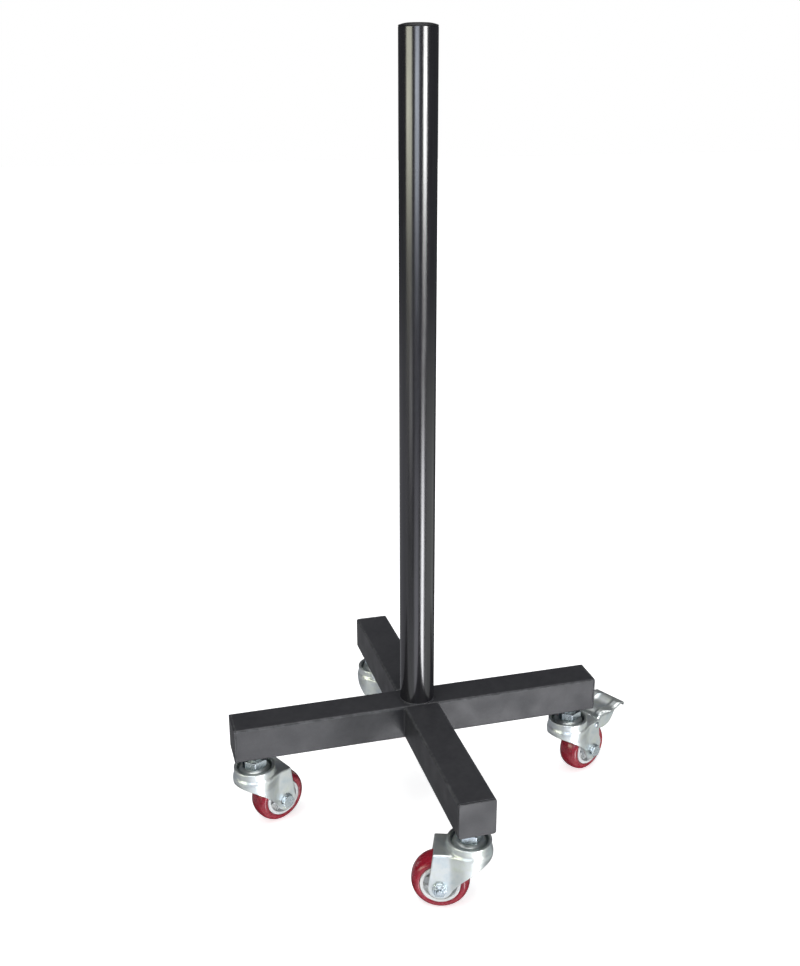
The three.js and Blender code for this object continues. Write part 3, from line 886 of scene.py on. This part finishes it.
def mirrored(half, radius, steps=4):
    """A rounded outline from its half on one side of the wheel's middle."""
    return rounded([(r, -h) for r, h in reversed(half)] + half, radius, steps)


def in_box(node, field, step):
    """A field's mesh, found within the CAD node's box."""
    return field_mesh(node, field, low(node), high(node), step * CELL)


def race_mesh():
    bottom, top = low("upper_race")[2], high("upper_race")[2]
    outline = rounded([(6.3, bottom), (22, bottom), (22.2, bottom + 2.4), (20.6, bottom + 6),
                       (17.3, bottom + 8), (12, top), (6.3, top)], 1.2)
    return merged(turned_mesh("upper_race", outline, 72))


def tread_mesh():
    edge, side = TREAD_HALF - 3.5, HUB_R + 0.15
    half = [(WHEEL_R, 5.5), (WHEEL_R - 2.4, edge), (WHEEL_R - 7, TREAD_HALF),
            (side, TREAD_HALF - 0.7)]
    return on_axle("tread", mirrored(half, 3.4, 6), 96)


def bearing_mesh():
    b = BEARING_HALF
    half = [(10.05, b), (9.1, b), (8.9, b - 0.6), (7.6, b - 0.6), (7.4, b), (6.4, b)]
    return on_axle("wheel_bearing", mirrored(half, 0.2, 2), 48)


def sleeve_mesh():
    near, far = low("axle_sleeve")[1], high("axle_sleeve")[1]
    outline = rounded([(4.2, near), (6.2, near), (6.2, far), (4.2, far)], 0.4, 2)
    return on_axle("axle_sleeve", outline, 40)


def nut_mesh(node, step):
    return in_box(node, nut_field(low(node)[2], high(node)[2], NUT_HEX, NUT_BORE), step)


def caster_meshes():
    """One mesh for each kind of caster piece, in the caster's own frame."""
    return {
        "fork": ("zinc_plate", in_box("fork", fork_field, 0.8)),
        "stem": ("plated_steel", in_box("stem", stem_field, 0.6)),
        "jam_nut": ("zinc_plate", nut_mesh("jam_nut", 0.5)),
        "weld_nut": ("plated_steel", nut_mesh("weld_nut", 0.6)),
        "upper_race": ("zinc_plate", race_mesh()),
        "ball_ring": ("plated_steel", ball_mesh()),
        "axle_bolt": ("plated_steel", in_box("axle_bolt", axle_bolt_field, 0.45)),
        "axle_nut": ("plated_steel", in_box("axle_nut", axle_nut_field, 0.4)),
        "axle_sleeve": ("plated_steel", sleeve_mesh()),
        "wheel_bearing": ("plated_steel", bearing_mesh()),
        "wheel_hub": ("wheel_plastic", in_box("wheel_hub", hub_field, 0.6)),
        "tread": ("tread_red", tread_mesh()),
    }


BODY_OF = {"fork": "swivel_", "ball_ring": "swivel_", "axle_bolt": "swivel_", "axle_nut": "swivel_",
           "axle_sleeve": "swivel_", "wheel_hub": "wheel_", "tread": "wheel_",
           "wheel_bearing": "wheel_"}


def build_casters():
    meshes = caster_meshes()
    for side in SIDES:
        matrix = caster_matrix(side)
        for kind, (slot, mesh) in meshes.items():
            body = BODY_OF[kind] + side if kind in BODY_OF else "base"
            place_piece(f"{kind}_{side}", mesh, slot, body, matrix)


def build_brake():
    pedal = in_box("brake_pedal", pedal_field, 0.7)
    place_piece("brake_pedal", pedal, "zinc_plate", "brake_lever", RIGHT)
    leaf = in_box("brake_leaf", leaf_field, 0.5)
    place_piece("brake_leaf", leaf, "spring_steel", "brake_lever", RIGHT)
    face = LEG_HALF + 0.3
    half = [(0, face + 2), (2.6, face + 1.9), (4.2, face + 1), (4.5, face), (PIN_R, face)]
    outline = [(r, -h) for r, h in half] + [(r, h) for r, h in reversed(half)]
    pin = merged(turned_mesh("brake_pin", outline, 48, True))
    pin.transform(Matrix.Translation((PIN_X * MM, 0, PIN_Z * MM)))
    place_piece("brake_pin", pin, "plated_steel", "swivel_right", RIGHT)


# ------------------------------------------------------------ floor and light

CAMERA_PLACE = Vector((-0.4087, -1.3896, 1.0055))
CAMERA_AIM = Vector((-0.0313, -0.0258, 0.5080))
CAMERA_LENS = 42.64
CAMERA_ROLL = -0.003


def build_camera():
    data = bpy.data.cameras.new("camera")
    data.lens = CAMERA_LENS
    data.sensor_width = 36
    camera = bpy.data.objects.new("camera", data)
    camera.location = CAMERA_PLACE
    camera.rotation_mode = "QUATERNION"
    level = (CAMERA_AIM - CAMERA_PLACE).to_track_quat("-Z", "Y")
    camera.rotation_quaternion = level @ Quaternion((0, 0, 1), CAMERA_ROLL)
    data.clip_end = 200
    bpy.context.scene.collection.objects.link(camera)
    bpy.context.scene.camera = camera


# Panels of the studio, as a mirror on the stand would show them: degrees round
# from the camera's side (first, last), degrees up (low, high), the widths of
# the soft edges round and up, and the radiance of red, green and blue.
PANELS = (
    ((30, 50), (0, 12), 5, 4, (20, 20, 20)),
    ((26, 44), (-42, -20), 6, 4, (11, 11, 11.4)),
    ((-73, -38), (0, 12), 6, 5, (6.5, 6.5, 5.3)),
    ((-54, -32), (-17, -13), 6, 4, (2.6, 2.6, 2.7)),
    ((-19, 4), (0, 12), 5, 5, (5.2, 5.6, 6.4)),
    ((-20, 8), (-42, -20), 5, 4, (0.8, 0.8, 0.9)),
    ((-75, 80), (-90, -34), 18, 9, (0.62, 0.64, 0.64)),
    ((58, 128), (-34, -14), 10, 6, (0.58, 0.6, 0.57)),
    ((-165, -132), (-34, -12), 8, 6, (0.28, 0.28, 0.3)),
    ((-128, -62), (-34, -10), 10, 6, (0.3, 0.3, 0.33)),
    ((-180, 180), (62, 90), 1, 12, (1.0, 1.0, 1.0)),
)
DARK_ROOM = (0.07, 0.073, 0.08)
OVERHEAD = 1.45


def build_world():
    """The camera sees plain white, and everything else a dark room with soft panels."""
    world = bpy.data.worlds.new("studio")
    bpy.context.scene.world = world
    world.use_nodes = True
    tree = world.node_tree

    def add(kind, *inputs, **settings):
        node = tree.nodes.new(kind)
        for key, value in settings.items():
            setattr(node, key, value)
        for socket, value in zip(node.inputs, inputs):
            if isinstance(value, bpy.types.NodeSocket):
                tree.links.new(value, socket)
            else:
                socket.default_value = value
        return node

    def math_node(operation, *inputs):
        return add("ShaderNodeMath", *inputs, operation=operation).outputs[0]

    def soft_band(angle, first, last, soft):
        """1 between the two angles, and 0 beyond the soft edges."""
        parts = []
        for low_end, high_end in ((first - soft, first + soft), (last + soft, last - soft)):
            step = add("ShaderNodeMapRange", angle, low_end, high_end, 0, 1,
                       interpolation_type="SMOOTHSTEP")
            parts.append(step.outputs[0])
        return math_node("MULTIPLY", *parts)

    generated = add("ShaderNodeTexCoord").outputs["Generated"]
    direction = add("ShaderNodeSeparateXYZ", generated).outputs
    view = CAMERA_PLACE - CAMERA_AIM
    facing = math.atan2(view.x, -view.y)
    back = math_node("MULTIPLY", direction["Y"], -1)
    raw = math_node("SUBTRACT", math_node("ARCTAN2", direction["X"], back), facing)
    around = math_node("DEGREES", math_node("WRAP", raw, math.pi, -math.pi))
    up = math_node("DEGREES", math_node("ARCSINE", direction["Z"]))
    total = None
    for (first, last), (bottom, top), soft_round, soft_up, radiance in PANELS:
        share = math_node("MULTIPLY", soft_band(around, first, last, soft_round),
                          soft_band(up, bottom, top, soft_up))
        colour = add("ShaderNodeVectorMath", radiance, operation="SCALE")
        tree.links.new(share, colour.inputs["Scale"])
        start = total if total is not None else DARK_ROOM
        total = add("ShaderNodeVectorMath", start, colour.outputs[0], operation="ADD").outputs[0]
    lit = add("ShaderNodeBackground", total, 1.0)
    seen = tree.nodes["Background"]
    seen.inputs["Color"].default_value = (1, 1, 1, 1)
    seen.inputs["Strength"].default_value = 1.0
    camera_ray = add("ShaderNodeLightPath").outputs["Is Camera Ray"]
    mix = add("ShaderNodeMixShader", camera_ray, lit.outputs[0], seen.outputs[0])
    tree.links.new(mix.outputs[0], tree.nodes["World Output"].inputs["Surface"])


def build_floor():
    """A pale floor that only the camera sees. The panels stand in for its reflection."""
    n = Nodes("floor")
    color = n.ramp(n.noise(1.5, 3), (0.3, 0.86), (0.7, 0.88))
    n.set(color=color, rough=0.9, normal=n.bump(n.noise(60, 3), 0.02, 0.001))
    n.shader.inputs["Emission Color"].default_value = (1, 1, 1, 1)
    n.shader.inputs["Emission Strength"].default_value = 0.7
    reach = 14
    corners = [(-reach, -reach, 0), (reach, -reach, 0), (reach, reach, 0), (-reach, reach, 0)]
    floor = new_from_mesh("floor", new_mesh("floor", corners, [(0, 1, 2, 3)]), n.material)
    floor.visible_glossy = False
    floor.visible_diffuse = False
    floor.visible_shadow = False


def build_studio():
    build_camera()
    build_world()
    build_floor()
    data = bpy.data.lights.new("overhead", "SUN")
    data.energy = OVERHEAD
    data.angle = math.radians(50)
    overhead = bpy.data.objects.new("overhead", data)
    overhead.rotation_euler = (math.radians(14), math.radians(-10), 0)
    bpy.context.scene.collection.objects.link(overhead)
    scene = bpy.context.scene
    scene.view_settings.view_transform = "Standard"
    scene.view_settings.look = "None"


# ------------------------------------------------------------------- assembly

build_studio()
build_base()
build_column()
build_casters()
build_brake()
